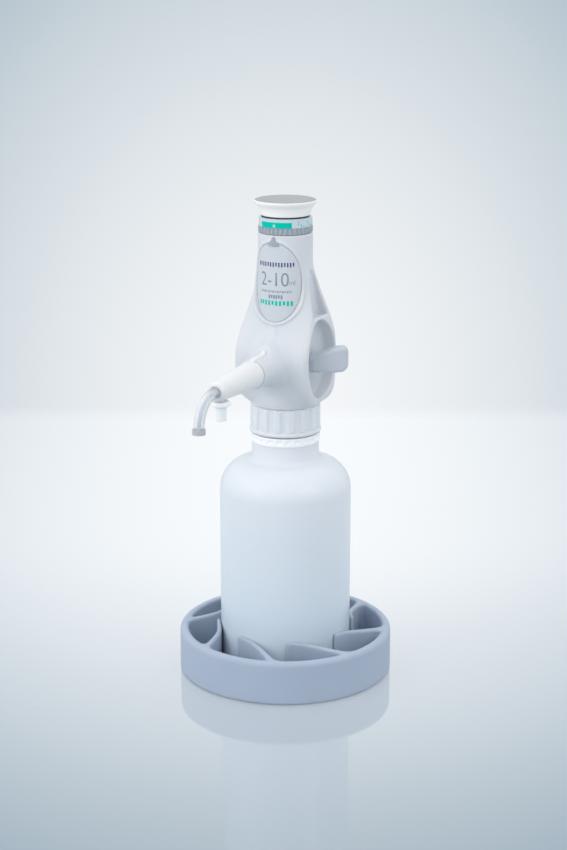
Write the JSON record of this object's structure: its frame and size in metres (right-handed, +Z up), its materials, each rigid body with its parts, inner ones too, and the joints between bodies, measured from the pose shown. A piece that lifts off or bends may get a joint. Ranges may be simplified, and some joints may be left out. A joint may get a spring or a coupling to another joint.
{
  "type": "bottle-top dispenser",
  "caption": "Bottle-top dispenser with push knob, volume scale ring, valve lever and discharge arm, screwed on a translucent bottle that stands in a soft finned ring.",
  "frame": {"origin": "centre of the stand ring's bottom plane, on the bottle's axis, at bench height", "axes": "+Z up along the bottle's axis, -Y along the discharge arm, +X towards the valve lever"},
  "size_m": [0.1554, 0.2155, 0.3469],
  "materials": {
    "stand_soft": "matte soft moulding",
    "bottle_plastic": "translucent, slightly frosted",
    "white_plastic": "fine satin",
    "arm_plastic": "smooth satin",
    "collar_plastic": "satin",
    "ring_white": "smooth",
    "grey_plastic": "satin",
    "grip_grey": "satin",
    "scale_band": "clear coated",
    "label_face": "smooth print",
    "knob_white": "satin",
    "knob_grey": "fine matt",
    "dark_rubber": "matte",
    "seal_grey": "matte",
    "clear_tube": "clear",
    "collar_dark": "satin",
    "fluoro_white": "waxy",
    "ceramic": "polished",
    "glass": "clear",
    "steel": "turned"
  },
  "bodies": {
    "stand": {"stand_ring": "stand_soft"},
    "bottle": {"bottle": "bottle_plastic", "tamper_ring": "ring_white"},
    "head": {"housing": "white_plastic", "label_plate": "label_face", "pointer": "grey_plastic", "valve_block": "fluoro_white", "cylinder_seal": "seal_grey", "measuring_cylinder": "glass", "intake_valve_seat": "ceramic", "intake_tube": "clear_tube", "recirculation_tube": "clear_tube", "discharge_valve_seat": "ceramic", "discharge_tube": "clear_tube", "discharge_arm": "arm_plastic", "arm_latch": "arm_plastic", "nozzle_tube": "clear_tube", "nozzle_collar": "collar_dark", "neck_seal": "fluoro_white", "spindle_seal": "seal_grey"},
    "collar": {"screw_collar": "collar_plastic"},
    "setting": {"grip_ring": "grip_grey", "scale_ring": "scale_band", "setting_sleeve": "grip_grey"},
    "stop": {"stop_nut": "steel"},
    "plunger": {"plunger_tube": "knob_white", "piston_rod": "steel", "piston": "ceramic", "rod_nut": "steel", "push_knob": "knob_white", "knob_disc": "knob_grey", "buffer_ring": "dark_rubber"},
    "lever": {"valve_lever": "grey_plastic", "valve_spindle": "fluoro_white"},
    "cap": {"closure_cap": "arm_plastic"},
    "intake_ball": {"intake_ball": "ceramic"},
    "discharge_ball": {"discharge_ball": "ceramic"}
  },
  "joints": [
    {"name": "bottle_lift", "type": "slide", "parent": "stand", "child": "bottle", "axis": [0, 0, 1], "range_m": [0, 0.04]},
    {"name": "head_lift", "type": "slide", "parent": "bottle", "child": "head", "axis": [0, 0, 1], "range_m": [0, 0.2]},
    {"name": "collar_turn", "type": "hinge", "parent": "head", "child": "collar", "pos_m": [0, 0, 0.19], "axis": [0, 0, 1], "continuous": true},
    {"name": "scale_turn", "type": "hinge", "parent": "head", "child": "setting", "pos_m": [0, 0, 0.328], "axis": [0, 0, 1], "range_deg": [0, 300]},
    {"name": "stop_travel", "type": "slide", "parent": "head", "child": "stop", "axis": [0, 0, 1], "range_m": [0, 0.0395]},
    {"name": "plunger_stroke", "type": "slide", "parent": "head", "child": "plunger", "axis": [0, 0, 1], "range_m": [0, 0.0393]},
    {"name": "lever_turn", "type": "hinge", "parent": "head", "child": "lever", "pos_m": [0, 0, 0.2329], "axis": [1, 0, 0], "range_deg": [0, 90]},
    {"name": "cap_off", "type": "slide", "parent": "head", "child": "cap", "axis": [0, 0, -1], "range_m": [0, 0.012]},
    {"name": "intake_ball_lift", "type": "slide", "parent": "head", "child": "intake_ball", "axis": [0, 0, 1], "range_m": [0, 0.0012]},
    {"name": "discharge_ball_shift", "type": "slide", "parent": "head", "child": "discharge_ball", "axis": [0, -1, 0], "range_m": [0, 0.0012]}
  ],
  "couplings": [
    {"joint": "stop_travel", "follows": "scale_turn", "m_per_rad": 0.0075}
  ]
}
